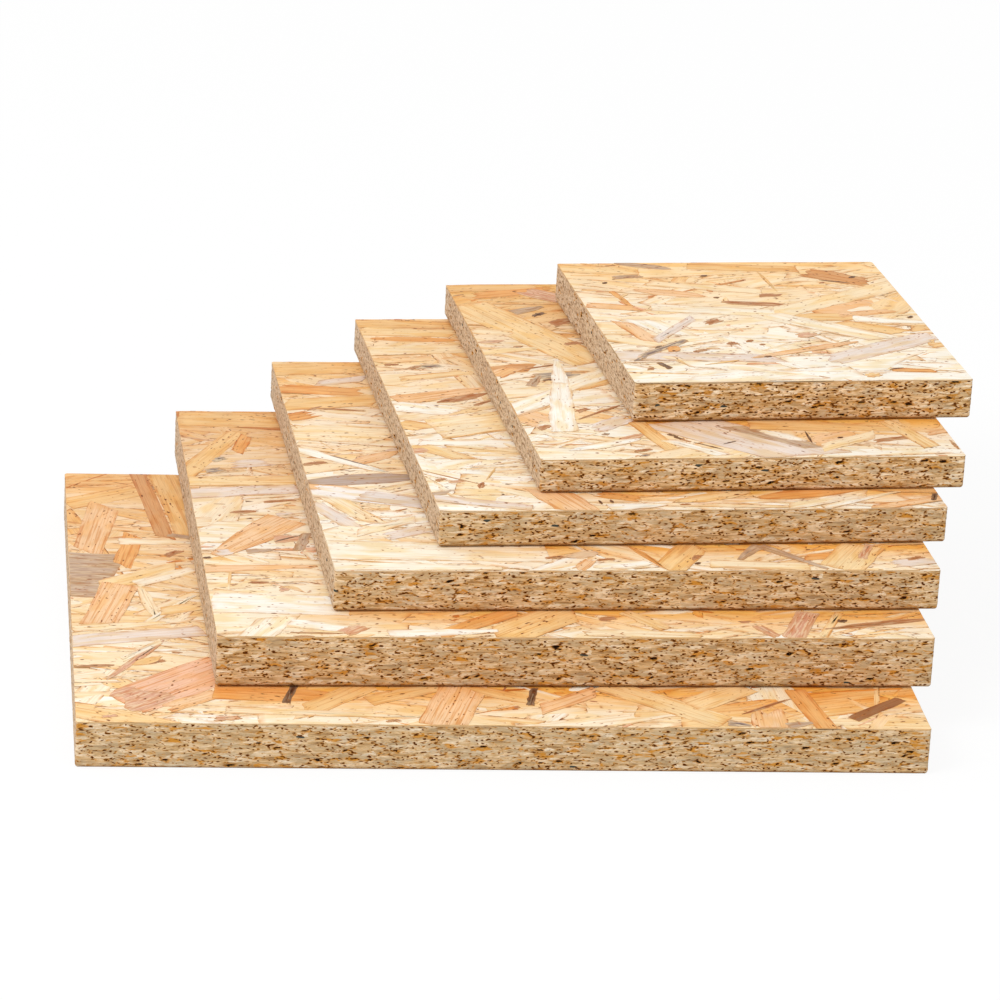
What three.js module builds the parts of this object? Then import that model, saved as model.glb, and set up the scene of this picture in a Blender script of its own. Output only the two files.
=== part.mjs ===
import * as THREE from 'three';

// A stack of six offcuts of oriented strand board, largest at the bottom. Each one lies on the one below,
// stepped in from its left and front edges, turned a little further, and overhanging it at the right.
// Millimetres and degrees, +X to the right, +Y to the back, +Z up.

// Board thicknesses, from the bottom panel up
const thickness1 = 20;
const thickness2 = 22;
const thickness3 = 18;
const thickness4 = 16;
const thickness5 = 15;
const thickness6 = 18;

// Sawn sizes: width along the front edge, depth from front to back
const width1 = 346;
const width2 = 297;
const width3 = 255;
const width4 = 218;
const width5 = 185;
const width6 = 151;

const depth1 = 291;
const depth2 = 279;
const depth3 = 270;
const depth4 = 258;
const depth5 = 243;
const depth6 = 172;

// How each panel lies on the one below: its front left corner, along and square to that panel's front edge
const stepRight2 = 57;
const stepRight3 = 49.6;
const stepRight4 = 46.1;
const stepRight5 = 45.4;
const stepRight6 = 48.6;

const stepBack2 = 37;
const stepBack3 = 26.9;
const stepBack4 = 26.2;
const stepBack5 = 20.1;
const stepBack6 = 45.5;

// How far each panel is turned, anticlockwise from above, on the one below
const turn2 = 1.3;
const turn3 = 1;
const turn4 = 1.4;
const turn5 = 0.6;
const turn6 = 0.5;

const seatGap = 0.3; // between a panel and the one it lies on
const cornerRadius = 1.2; // upright corners
const topArris = 0.5; // crisp, from the sanded face
const undersideArris = 1.5; // worn by sliding and handling
const tightestCorner = 0.2; // where an arris takes up the round of the upright corner
const arcSteps = 4; // facets in each rounded corner or arris

// The sawn outline of a panel, drawn in by an inset, with its front left corner at the origin.
function outline(width, depth, inset, height) {
  const radius = Math.max(cornerRadius - inset, tightestCorner);
  const near = inset + radius;
  const centres = [
    [width - near, near],
    [width - near, depth - near],
    [near, depth - near],
    [near, near],
  ];
  return centres.flatMap(([x, y], corner) =>
    Array.from({ length: arcSteps + 1 }, (_, step) => {
      const angle = (corner - 1 + step / arcSteps) * (Math.PI / 2);
      return new THREE.Vector3(x + radius * Math.cos(angle), y + radius * Math.sin(angle), height);
    }),
  );
}

// The outlines of a panel from its underside to its top face, following the round of each arris.
function outlines(width, depth, thickness) {
  const angles = Array.from({ length: arcSteps + 1 }, (_, step) => (step / arcSteps) * (Math.PI / 2));
  const underside = angles.map((angle) =>
    outline(width, depth, undersideArris * (1 - Math.sin(angle)), undersideArris * (1 - Math.cos(angle))),
  );
  const top = angles.map((angle) =>
    outline(width, depth, topArris * (1 - Math.cos(angle)), thickness - topArris * (1 - Math.sin(angle))),
  );
  return [...underside, ...top];
}

// Skins the outlines into one closed solid, with a flat cap on the underside and on the top face.
function loft(rings) {
  const count = rings[0].length;
  const index = [];
  for (let level = 1; level < rings.length; level += 1) {
    for (let point = 0; point < count; point += 1) {
      const next = (point + 1) % count;
      const [a, b] = [(level - 1) * count + point, (level - 1) * count + next];
      const [c, d] = [level * count + next, level * count + point];
      index.push(a, b, c, a, c, d);
    }
  }
  const cap = THREE.ShapeUtils.triangulateShape(rings[0], []);
  const top = (rings.length - 1) * count;
  cap.forEach(([a, b, c]) => index.push(a, c, b, top + a, top + b, top + c));
  const geometry = new THREE.BufferGeometry().setFromPoints(rings.flat());
  geometry.setIndex(index);
  geometry.computeVertexNormals();
  return geometry;
}

function panelMesh(name, [width, depth, thickness], hex) {
  const material = new THREE.MeshStandardMaterial({ color: hex, roughness: 0.85, metalness: 0 });
  const panel = new THREE.Mesh(loft(outlines(width, depth, thickness)), material);
  panel.name = name;
  return panel;
}

const panels = [
  { name: 'panel_1', size: [width1, depth1, thickness1], at: [0, 0, 0], hex: 0xc9ab7e },
  { name: 'panel_2', size: [width2, depth2, thickness2], at: [stepRight2, stepBack2, turn2], hex: 0xc7a779 },
  { name: 'panel_3', size: [width3, depth3, thickness3], at: [stepRight3, stepBack3, turn3], hex: 0xccae82 },
  { name: 'panel_4', size: [width4, depth4, thickness4], at: [stepRight4, stepBack4, turn4], hex: 0xc6a678 },
  { name: 'panel_5', size: [width5, depth5, thickness5], at: [stepRight5, stepBack5, turn5], hex: 0xcbad80 },
  { name: 'panel_6', size: [width6, depth6, thickness6], at: [stepRight6, stepBack6, turn6], hex: 0xc8a97c },
];

// Each panel's group sits in the group of the panel below, so a changed size or turn takes along all that
// lies on that panel.
const stack = new THREE.Group();
let carrier = stack;
let seat = 0;
for (const { name, size, at, hex } of panels) {
  const [stepRight, stepBack, turn] = at;
  const [, , thickness] = size;
  const group = new THREE.Group();
  group.position.set(stepRight, stepBack, seat);
  group.rotation.z = THREE.MathUtils.degToRad(turn);
  group.add(panelMesh(name, size, hex));
  carrier.add(group);
  carrier = group;
  seat = thickness + seatGap;
}

// The origin is the middle of the whole stack's footprint, on the floor.
const middle = new THREE.Box3().setFromObject(stack, true).getCenter(new THREE.Vector3());
stack.position.set(-middle.x, -middle.y, 0);

export default stack;
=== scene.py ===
import math

import bmesh
import bpy
import numpy as np
from mathutils import Matrix, Vector


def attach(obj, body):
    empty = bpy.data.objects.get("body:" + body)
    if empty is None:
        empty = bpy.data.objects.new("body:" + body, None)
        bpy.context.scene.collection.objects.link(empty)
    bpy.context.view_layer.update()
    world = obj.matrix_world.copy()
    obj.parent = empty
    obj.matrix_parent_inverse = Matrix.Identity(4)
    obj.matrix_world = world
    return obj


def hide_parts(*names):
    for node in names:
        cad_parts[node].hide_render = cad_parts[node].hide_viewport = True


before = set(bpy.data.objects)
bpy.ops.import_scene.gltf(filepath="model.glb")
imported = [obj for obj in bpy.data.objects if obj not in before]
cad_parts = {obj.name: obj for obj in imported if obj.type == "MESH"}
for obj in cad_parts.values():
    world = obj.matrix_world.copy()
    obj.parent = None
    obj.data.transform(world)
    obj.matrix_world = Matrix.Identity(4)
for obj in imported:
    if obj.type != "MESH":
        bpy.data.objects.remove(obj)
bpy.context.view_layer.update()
mm = 0.001


def linear(hexColour):
    # sRGB hex to linear light
    parts = [int(hexColour[i:i + 2], 16) / 255 for i in (1, 3, 5)]
    return [p / 12.92 if p <= 0.04045 else ((p + 0.055) / 1.055) ** 2.4 for p in parts]


def rgba(hexColour):
    return (*linear(hexColour), 1)


def chance(i, j, seed):
    # the same number from 0 to 1 every time for each pair of whole numbers
    n = (i.astype(np.int64) * 374761393 + j.astype(np.int64) * 668265263 + seed * 982451653) & 0xFFFFFFFF
    n = ((n ^ (n >> 13)) * 1274126177) & 0xFFFFFFFF
    return (n ^ (n >> 16)) / 4294967296.0


def gather(items, key, size, kind=float):
    # one property of every item of a mesh, a row of this size for each
    values = np.empty(len(items) * size, kind)
    items.foreach_get(key, values)
    return values.reshape(-1, size)


def addObject(name, data):
    thing = bpy.data.objects.new(name, data)
    bpy.context.scene.collection.objects.link(thing)
    return thing


def readPanel(name):
    # The turn is the direction of the longest level edge on the flanks that runs nearest to X. The corner,
    # width and depth are the reach of the points along that direction and square to it.
    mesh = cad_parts[name].data
    points = gather(mesh.vertices, "co", 3)
    a, b = points[gather(mesh.edges, "vertices", 2, int)].transpose(1, 0, 2)
    low, high = points[:, 2].min(), points[:, 2].max()
    level, clear = 1e-6, 1e-5
    run = (b - a) * np.sign((b - a)[:, :1] + 1e-12)
    flank = (np.abs(run[:, 2]) < level) & (a[:, 2] > low + clear) & (a[:, 2] < high - clear)
    flank &= np.abs(run[:, 1]) < run[:, 0]
    longest = run[flank][np.argmax(np.linalg.norm(run[flank], axis=1))]
    turn = math.atan2(longest[1], longest[0])
    along = np.array([math.cos(turn), math.sin(turn)])
    back = np.array([-along[1], along[0]])
    x, y = points[:, :2] @ along, points[:, :2] @ back
    return dict(name=name, along=along, back=back, corner=along * x.min() + back * y.min(),
                width=np.ptp(x), depth=np.ptp(y), low=low, high=high)


panels = [readPanel(name) for name in sorted(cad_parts)]
for panel in panels:
    print("panel", panel["name"], "width %.1f depth %.1f mm" % (panel["width"] / mm, panel["depth"] / mm))


def place(panel, x, y, z):
    # from a panel's own coordinates, which start at its front left corner, to the shared frame
    flat = panel["corner"] + x[..., None] * panel["along"] + y[..., None] * panel["back"]
    return np.concatenate([flat, z[..., None]], axis=-1)


def covered(panel, other, x, y, margin):
    # Which points of a panel, in mm from its corner, lie under or over another panel and at least the margin
    # inside its edges.
    if other is None:
        return np.zeros(x.shape, bool)
    flat = panel["corner"] + (x[..., None] * panel["along"] + y[..., None] * panel["back"]) * mm
    flat = (flat - other["corner"]) / mm
    u, v = flat @ other["along"], flat @ other["back"]
    width, depth = other["width"] / mm, other["depth"] / mm
    return (u > margin) & (u < width - margin) & (v > margin) & (v < depth - margin)


def meshFrom(name, vertices, faces, values, uv=None, cornerUv=None):
    mesh = bpy.data.meshes.new(name)
    mesh.from_pydata(vertices.reshape(-1, 3), [], faces)
    mesh.update()
    if cornerUv is None:
        cornerUv = uv.reshape(-1, 2)[gather(mesh.loops, "vertex_index", 1, int)[:, 0]]
    layer = mesh.uv_layers.new(name="grain")
    layer.uv.foreach_set("vector", cornerUv.astype(np.float32).ravel())
    for key, value in values.items():
        if value.ndim == 2:
            layer = mesh.attributes.new(key, "FLOAT_COLOR", "POINT")
            colour = np.concatenate([value, np.ones((len(value), 1))], axis=1)
            layer.data.foreach_set("color", colour.astype(np.float32).ravel())
        else:
            layer = mesh.attributes.new(key, "FLOAT", "POINT")
            layer.data.foreach_set("value", value.astype(np.float32).ravel())
    return mesh


def addPiece(name, mesh, material, nodes=()):
    piece = addObject(name, mesh)
    mesh.materials.append(material)
    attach(piece, "root")
    if nodes:
        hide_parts(*nodes)
    return piece


core = dict(
    step=1.0 * mm,                    # along the sawn edge
    rise=0.74 * mm,                   # up the sawn edge
    cornerRadius=1.2 * mm,
    undersideArris=1.5 * mm,
    undersideLip=0.3 * mm,
    topArris=0.35 * mm,
    topArrisHeight=(0.05 * mm, 0.12 * mm),
    topLip=1.2 * mm,
    recess=0.62 * mm,                 # the strands of the face lie in this
    cap=5 * mm,                       # from the sawn edge to the flat that closes each end
    relief=0.14 * mm,                 # flake ends standing back from the saw cut
    flake=(4.6 * mm, 0.9 * mm),
    flakeShift=3,                     # of one row of flakes against the next, in flakes
    pitCell=(8.0 * mm, 2.9 * mm),
    pitPlace=(0.1, 0.8),              # first part of its cell that a pit may lie in, and how much of it
    pitShare=0.34,
    pitLength=(0.4 * mm, 1.7 * mm),   # half of it
    pitHeight=(0.26 * mm, 0.30 * mm),
    pitDepth=(0.4 * mm, 1.3 * mm),
    pitLean=0.5,
    pitRim=1.7,                       # how far the torn wood round a pit reaches, in half lengths
    warmth=dict(panel_1=0.2, panel_2=0.42, panel_3=0.55, panel_4=0.38, panel_5=0.75, panel_6=1.0),
    sideGrain=0.55,                   # the flakes lie along the sides, so fewer ends and pores show there
)
quarter = np.radians([0, 22.5, 45, 67.5])
seeds = dict(core=11, coreStep=20, face=50, underside=150)


def outline(panel):
    # A rounded rectangle walked anticlockwise from its back right corner: points, outward directions and the
    # length walked so far.
    w, d, r = panel["width"], panel["depth"], core["cornerRadius"]
    corners = [(r, r), (w - r, r), (w - r, d - r), (r, d - r)]
    points, normals = [], []
    for side in (2, 3, 0, 1):
        here, there = np.array(corners[side]), np.array(corners[(side + 1) % 4])
        length, angle = abs(there - here).sum(), math.radians(side * 90 - 90)
        t = np.linspace(0, 1, int(length / core["step"]), endpoint=False)[:, None]
        n = np.array([math.cos(angle), math.sin(angle)])
        points.append(here * (1 - t) + there * t + r * n)
        normals.append(np.broadcast_to(n, points[-1].shape))
        arc = angle + quarter
        normals.append(np.stack([np.cos(arc), np.sin(arc)], axis=1))
        points.append(there + r * normals[-1])
    points, normals = np.concatenate(points), np.concatenate(normals)
    steps = np.linalg.norm(np.roll(points, -1, axis=0) - points, axis=1)
    return points, normals, np.concatenate([[0], np.cumsum(steps)])


def pits(u, z, around, seed):
    # Each cell of a grid over the sawn edge may hold one leaning, lens-shaped void at a place of its own.
    # Its depth is one less the square of the distance from its middle, times the depth of that void.
    cellU, cellZ = core["pitCell"]
    cells = max(1, round(around / cellU))
    cellU = around / cells
    i0, j0 = np.floor(u / cellU).astype(int), np.floor(z / cellZ).astype(int)
    depth, near = np.zeros_like(u), np.zeros_like(u)
    first, part = core["pitPlace"]
    low, high = core["pitDepth"]
    for di in (-1, 0, 1):
        for dj in (-1, 0, 1):
            i, j = i0 + di, j0 + dj
            k = i % cells
            du = u - (i + first + part * chance(k, j, seed)) * cellU
            dz = z - (j + first + part * chance(k, j, seed + 1)) * cellZ
            size = chance(k, j, seed + 2) ** 2
            a = core["pitLength"][0] + core["pitLength"][1] * size
            b = core["pitHeight"][0] + core["pitHeight"][1] * size
            dz = dz - (chance(k, j, seed + 3) - 0.5) * core["pitLean"] * du
            far = np.sqrt((du / a) ** 2 + (dz / b) ** 2)
            there = chance(k, j, seed + 4) < core["pitShare"]
            bowl = np.clip(1 - far ** 2, 0, 1) * (low + (high - low) * size)
            depth = np.maximum(depth, np.where(there, bowl, 0))
            near = np.maximum(near, np.where(there, np.clip(core["pitRim"] - far, 0, 1), 0))
    return depth, near


def buildCore(panel, material, seed):
    # Rings of the rounded rectangle stacked up the edge: the ring's inset follows a quarter circle at the
    # underside arris, then stays at nothing but for flake relief and pits, and closes under the face
    # strands.
    points, normals, walked = outline(panel)
    low, high = panel["low"], panel["high"]
    bottom, top, recess = core["undersideArris"], core["topArris"], core["recess"]
    below, over = core["topArrisHeight"]
    flank = np.linspace(low + bottom, high - recess - below, int((high - low) / core["rise"]))
    rings = [(core["cap"], low + recess, 0), (bottom + core["undersideLip"], low + recess, 0)]
    rings += [(bottom * (1 - math.sin(a)), low + bottom * (1 - math.cos(a)), math.sin(a)) for a in quarter]
    rings += [(0, z, 1) for z in flank]
    rings += [(top, high - recess + over, 0)]
    rings += [(core[key], high - recess, 0) for key in ("topLip", "cap")]
    inset, z, weight = np.array(rings).T[:, :, None]
    u = np.broadcast_to(walked, (len(z), len(walked)))
    height = np.broadcast_to(z - low, u.shape)
    depth, near = pits(u[:, :-1], height[:, :-1], walked[-1], seed)
    flakeLength, flakeHeight = core["flake"]
    row = np.floor(height[:, :-1] / flakeHeight)
    shift = core["flakeShift"] * chance(row, row * 0, seed + 9)
    flake = chance(np.floor(u[:, :-1] / flakeLength + shift), row, seed + 10)
    inward = inset + (depth + core["relief"] * flake) * weight
    x = points[None, :, 0] - normals[None, :, 0] * inward
    y = points[None, :, 1] - normals[None, :, 1] * inward
    vertices = place(panel, x, y, np.broadcast_to(z, x.shape))
    levels, count = x.shape
    ring = np.arange(count)
    base = np.arange(levels - 1)[:, None] * count
    following = (ring + 1) % count
    quads = np.stack([base + ring, base + following, base + count + following, base + count + ring], axis=-1)
    faces = quads.reshape(-1, 4).tolist()
    faces.append(ring[::-1].tolist())
    faces.append((ring + (levels - 1) * count).tolist())
    uv = np.stack([u, height], axis=-1)
    sides = np.stack([uv[:-1, :-1], uv[:-1, 1:], uv[1:, 1:], uv[1:, :-1]], axis=2).reshape(-1, 2)
    cornerUv = np.concatenate([sides, uv[0, :-1][::-1], uv[-1, :-1]])
    ends = core["sideGrain"] + (1 - core["sideGrain"]) * np.abs(normals[:, 1]) * np.ones((levels, 1))
    warmth = core["warmth"][panel["name"]] * ends
    values = dict(pit=near * weight, sawn=np.broadcast_to(weight, x.shape), warmth=warmth, endGrain=ends)
    values = {key: value.ravel() for key, value in values.items()}
    name = panel["name"] + "_core"
    mesh = meshFrom(name, vertices, faces, values, cornerUv=cornerUv)
    return addPiece(name, mesh, material, [panel["name"]])


# each tone's colour, how strongly the growth rings show in it, and how much paler wood shows through it;
# plain strands take a place on the line of the first six
tones = dict(
    white=("#FDF7EA", 0.1, 0), blond=("#FCF1DB", 0.3, 0), cream=("#FBE7C3", 0.5, 0),
    straw=("#F9DBA8", 0.6, 0), honey=("#F4CD92", 0.7, 0), amber=("#F0B672", 0.9, 0),
    tan=("#DDA974", 1, 0), salmon=("#F5CC9F", 1, 0), copper=("#F3C1A0", 1, 0.15),
    rose=("#D9A083", 0.9, 0.55), rust=("#B67440", 0.8, 0.35), pearl=("#F8F0E9", 0.2, 0),
    silver=("#EDDDD0", 0.3, 0), taupe=("#BFA18A", 0.8, 0.35), slate=("#8A7674", 0.6, 0.7),
    # umber sheets paint the shade in the small gaps between strands
    umber=("#62371A", 0.4, 0.2), dove=("#C0AB9E", 0.8, 0), lilac=("#E8DCD3", 0.3, 0),
    cocoa=("#A2704A", 0.7, 0),
)
plainCount = 6
toneNames = list(tones)
toneColours = np.array([linear(hexColour) for hexColour, _, _ in tones.values()])
toneFigures, toneMottles = np.array([row[1:] for row in tones.values()]).T
darkShare = dict(tan=3, salmon=2, copper=2, rose=1.4, rust=6, taupe=1.2, slate=0.4, umber=1.8)
oddShare = dict(amber=2, tan=2, salmon=4, copper=1, silver=4, taupe=0.4)

# where plain strands lie on their line: the middle of each panel's, its slow waves and its spread
plain = dict(
    middle=0.16, wave=0.045, waveLengths=(55, 90, 140), wavePhase=9, spread=0.145,
    golden=dict(panel_1=0.15, panel_2=0.11, panel_3=-0.01, panel_4=-0.02, panel_5=0.03, panel_6=-0.06),
)
# the red, green and blue lost to painted shade: by the strip in front of the next panel, where it paints the
# shade under that panel, by each panel's back and by the underside
gilding = dict(
    strip=(0.025, 0.31, 0.60), rise=1.6, most=1.4, past=8, underside=0.4,
    back=dict(panel_1=(0.11, 0.41, 0.69), panel_2=(0.17, 0.43, 0.65), panel_3=(0.07, 0.32, 0.59),
              panel_4=(0.07, 0.33, 0.61), panel_5=(0.14, 0.46, 0.80), panel_6=(0, 0.26, 0.58)),
)

# mm; every is the area of face for each strand
strandKinds = dict(
    mat=dict(every=420, length=(75, 120), width=(17, 26), rows=5, columns=5, sink=(0.40, 0.50), ragged=1,
             sway=5, odd=0),
    wide=dict(every=380, length=(50, 130), width=(12, 30), rows=7, columns=7, sink=(0.12, 0.34), ragged=1.4,
              sway=14, odd=0.03),
    middling=dict(every=330, length=(25, 85), width=(4, 11), rows=6, columns=5, sink=(0.13, 0.36),
                  ragged=1.2, sway=17, odd=0.07, shownOnly=True),
    sliver=dict(every=300, length=(9, 42), width=(0.8, 2.6), rows=5, columns=4, sink=(0.12, 0.30),
                ragged=0.8, sway=20, odd=0.2, shownOnly=True),
    chip=dict(every=650, length=(2.5, 7), width=(0.9, 2.4), rows=4, columns=4, sink=(0.10, 0.15),
              ragged=1.2, sway=25, odd=1, shownOnly=True),
)

# mm and degrees, for all kinds of scattered strands
scattered = dict(
    level=0.78,             # share that lies roughly along the panel's width
    steepSway=50,           # of the rest
    undersideShare=0.6,     # how many strands an underside has for each on a face
    matCell=(55, 10.5),
    matPast=6,              # how far the mat passes the front and back
    matJitter=(0.3, 0.7),
    narrowing=1.4,          # more of the strands are narrow
    dip=0.035,
    highest=0.1,
    ragged=(0.2, 1),
    taper=0.8,
    lens=0.9,
    bow=0.02,
    slant=0.5,
    tilt=0.07,
    hidden=12,              # under another panel and this far from its edges, small strands are left out
)
# for the strands that stand out, which lie on top and take only a share of the painted shade
laid = dict(sink=0.09, dip=0.002, gild=0.3, outlined=0.64, ragged=0.5, figure=(0.45, 0.8), bow=0.008, rows=9,
            columns=9)

# the shape of one strand, mm or parts of its length or width
sheet = dict(
    endStations=((0.8, 0.15), (3.5, 0.35)), sideStations=((0.35, 0.2), (1.2, 0.36)),
    tearing=1.6, wander=0.012, nibble=0.15, nibbleWidth=1.5,
    rimInside=0.4, rimWidth=1.2, rimLeast=0.25,
    deepest=0.55, thickness=0.3 * mm, grainShift=3,
)
# a group of strands is cut a step further in than the one before it; a face whose normal rises less than
# steep counts as a cut end
cut = dict(groups=12, step=0.01 * mm, corner=0.45 * mm, faceInset=0.03 * mm, faceChamfer=0.3 * mm,
           undersideInset=core["undersideArris"] - 0.1 * mm, undersideChamfer=0.15 * mm, steep=0.9)

# how a strand was broken: the slants of its two ends and their tearing, mm; a taper narrows it to one end
# and a lens to both
endKinds = dict(
    square=((0.12, -0.1), 0.7, 0.04, 0),
    slant=((0.8, 0.8), 0.7, 0, 0),
    backSlant=((-0.8, -0.8), 0.7, 0, 0),
    torn=((0.25, -0.3), 5, 0.08, 0.1),
    wedge=((0, 0), 0.5, 0.72, 0),
    leaf=((0, 0), 2, 0, 0.85),
    sail=((-0.15, 0), 0.6, 0.4, 0),
    fang=((0, 0), 0.6, 0.92, 0),
)

# the strands that stand out: tone, the two ends of the middle line and the width, mm from the panel's front
# left corner, and how it was broken
accents = {}
accents["panel_1"] = [
    ("honey", 0, 250, 34, 270, 14, "square"), ("tan", 33, 294, 43, 209, 8, "slant"),
    ("honey", 44, 294, 54, 212, 13, "square"), ("taupe", 44, 213, 55, 209, 5, "torn"),
    ("salmon", 17, 249, 8, 190, 14, "slant"), ("taupe", 20, 162, -12, 165, 53, "square"),
    ("amber", 29, 212, 23, 174, 9, "slant"), ("blond", 22, 204, 54, 203, 8, "wedge"),
    ("rust", 42, 186, 49, 194, 4, "torn"), ("straw", 12, 148, 46, 172, 12, "slant"),
    ("blond", 28, 152, 54, 171, 8, "square"), ("salmon", 22, 152, 11, 104, 16, "square"),
    ("cream", 30, 150, 36, 112, 6, "leaf"), ("blond", 32, 107, 53, 140, 5, "wedge"),
    ("straw", 36, 120, 56, 128, 9, "torn"), ("silver", -3, 85, 55, 99, 12, "square"),
    ("cream", 0, 100, 40, 108, 8, "wedge"), ("rose", 13, 44, 38, 88, 3.5, "leaf"),
    ("blond", 20, 66, 37, 87, 4, "slant"), ("rust", 0, 58, 17, 60, 3, "leaf"),
    ("rust", 30, 62, 38, 66, 3, "torn"), ("honey", 24, 60, 37, 70, 6, "leaf"),
    ("copper", 19, 19, 68, 66, 27, "torn"), ("rose", 17.5, 19, 34, 33, 24, "torn"),
    ("salmon", 36, 14, 60, 33, 9, "torn"), ("amber", 56, 34, 113, 27, 18, "wedge"),
    ("honey", 92, 13, 122, 44, 12, "slant"), ("umber", 85, 21, 89.5, 40, 3.2, "square"),
    ("honey", 118, 24, 150, 42, 10, "square"), ("cream", 60, 14, 140, 8, 7, "wedge"),
    ("salmon", 146, -2, 160, 46, 20, "square"), ("honey", 160, 40, 188, 24, 9, "leaf"),
    ("umber", 184, 21, 188, 40, 3.2, "square"), ("salmon", 188, 17, 213, 37, 9, "slant"),
    ("rust", 213, 38, 259, 2, 1.4, "leaf"), ("straw", 217, 44, 262, 5, 14, "square"),
    ("straw", 250, 22, 276, 43, 14, "square"), ("rust", 270, 14, 293, 31, 2, "leaf"),
    ("amber", 296, 41, 303, -2, 9, "square"), ("slate", 263, 5, 272, 2, 6, "wedge"),
    ("salmon", 280, -2, 281, 19, 15, "torn"), ("taupe", 287, 2, 298, 6, 6, "wedge"),
    ("cocoa", 315, 10, 339, 32, 6, "square"), ("rust", 124, 3.5, 130, 4.5, 2.6, "torn"),
    ("rose", 10, 5, 17, 7, 2.4, "torn"), ("rose", 55, 4, 66, 6, 4, "torn"),
]
accents["panel_2"] = [
    ("honey", 0, 268, 46, 266, 20, "square"), ("honey", -2, 190, 26, 250, 10, "square"),
    ("amber", 24, 222, 30, 245, 6, "slant"), ("slate", 12, 211, 19, 215, 5, "torn"),
    ("slate", 8, 197, 17, 200, 6, "torn"), ("silver", 20, 206, 39, 210, 10, "torn"),
    ("straw", -2, 184, 48, 186, 12, "square"), ("silver", -3, 168, 48, 175, 12, "square"),
    ("rust", 31, 158, 46, 161, 3, "torn"), ("rust", 15, 144, 28, 147, 4, "leaf"),
    ("silver", 35, 141, 44, 143, 6, "torn"), ("blond", -2, 121, 36, 119, 27, "slant"),
    ("salmon", 40, 137, 6, 92, 20, "wedge"), ("rose", 32, 112, 46, 113, 9, "wedge"),
    ("taupe", 41, 98, 47, 120, 5, "torn"), ("umber", 32, 109, 44, 117, 1.2, "leaf"),
    ("taupe", 19, 97, 31, 99, 5, "wedge"), ("silver", 5, 95, 14, 97, 7, "torn"),
    ("umber", -1, 89, 4, 90, 2.2, "torn"), ("salmon", -2, 76, 48, 80, 8, "wedge"),
    ("rose", 29, 52, 34, 55, 5, "torn"), ("rust", 17, 60, 26, 61, 2.6, "leaf"),
    ("white", 0, 38, 58, 34, 22, "square"), ("blond", 15, -2, 27, 22, 14, "backSlant"),
    ("white", 30, 15, 56, 9, 9, "square"), ("rust", 30, 4.6, 54, 3.6, 1.5, "leaf"),
    ("rust", 31, 0.8, 40, 0.6, 1.2, "leaf"), ("rose", 51, 3, 61, 12, 8, "torn"),
    ("honey", 56, 30, 98, 34, 12, "square"), ("amber", 91, 2, 126, 29, 9, "slant"),
    ("honey", 114, -1, 150, 31, 20, "slant"), ("rust", 159, 20, 167, 22, 4, "torn"),
    ("straw", 186, 9, 171, 29, 7, "square"), ("rose", 237, -1, 249, 29, 10, "square"),
    ("rose", 224, 14, 231, 1, 5, "torn"), ("straw", 250, 1, 262, 29, 4, "square"),
    ("umber", 259, 18, 264, 20, 3, "leaf"), ("rust", 252, 10, 300, 22, 5, "leaf"),
    ("white", 70, 3, 116, 7, 9, "wedge"), ("cream", 150, 6, 200, 2, 8, "torn"),
]
accents["panel_3"] = [
    ("honey", -2, 258, 44, 262, 16, "square"), ("silver", 17, 238, 41, 246, 8, "slant"),
    ("amber", -2, 232, 38, 226, 12, "torn"), ("honey", -2, 208, 44, 216, 15, "slant"),
    ("amber", -1, 190, 13, 197, 10, "torn"), ("rust", 14, 204, 36, 200.5, 1.8, "leaf"),
    ("rust", 9, 200, 17, 207, 2, "leaf"), ("cream", -2, 172, 44, 166, 22, "slant"),
    ("salmon", 19, 128, 45, 147, 8, "leaf"), ("white", -2, 150, 38, 117, 8, "wedge"),
    ("slate", 13, 141, 29, 127, 1.3, "leaf"), ("rust", 0, 129, 11, 132, 3.4, "torn"),
    ("dove", -3, 106, 52, 114, 13, "leaf"), ("pearl", -2, 97, 48, 81, 16, "torn"),
    ("lilac", 20, 90, 50, 80, 13, "torn"), ("silver", -1, 82, 13, 52, 8, "slant"),
    ("cream", 9, 86, 23, 57, 10, "slant"), ("blond", 14, 44, 41, 61, 7, "slant"),
    ("silver", 25, 39, 47, 51, 9, "torn"), ("blond", -2, 25, 92, 20, 22, "square"),
    ("amber", -1, 14, 62, 1.6, 0.9, "leaf"), ("blond", -2, 6, 70, 3, 10, "wedge"),
    ("rust", 89, 14, 98, 16, 2.4, "torn"), ("rust", 111, 12, 119, 13.5, 2.2, "torn"),
    ("silver", 98, 15, 113, 21, 7, "leaf"), ("salmon", 101, 0, 109, 13, 6, "torn"),
    ("amber", 127, 29, 139, 1, 3, "leaf"), ("honey", 139, 1, 156, 30, 14, "slant"),
    ("rust", 151, 12, 156, 18, 3, "torn"), ("umber", 151.5, 7, 154.5, 9, 2, "leaf"),
    ("taupe", 183, 29, 171, 12, 6, "wedge"), ("taupe", 183, 29, 207, 1, 6, "wedge"),
    ("amber", 199, 14, 215, 18, 7, "torn"), ("straw", 212, 1, 228, 29, 19, "square"),
    ("rose", 224, 13, 231, 30, 4, "square"), ("silver", 235, 7, 256, 12, 9, "torn"),
    ("rust", 243, 12, 251, 15, 3.4, "torn"), ("white", 108, 4, 134, 9, 9, "leaf"),
    ("cream", 158, 8, 200, 4, 9, "square"),
]
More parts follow.
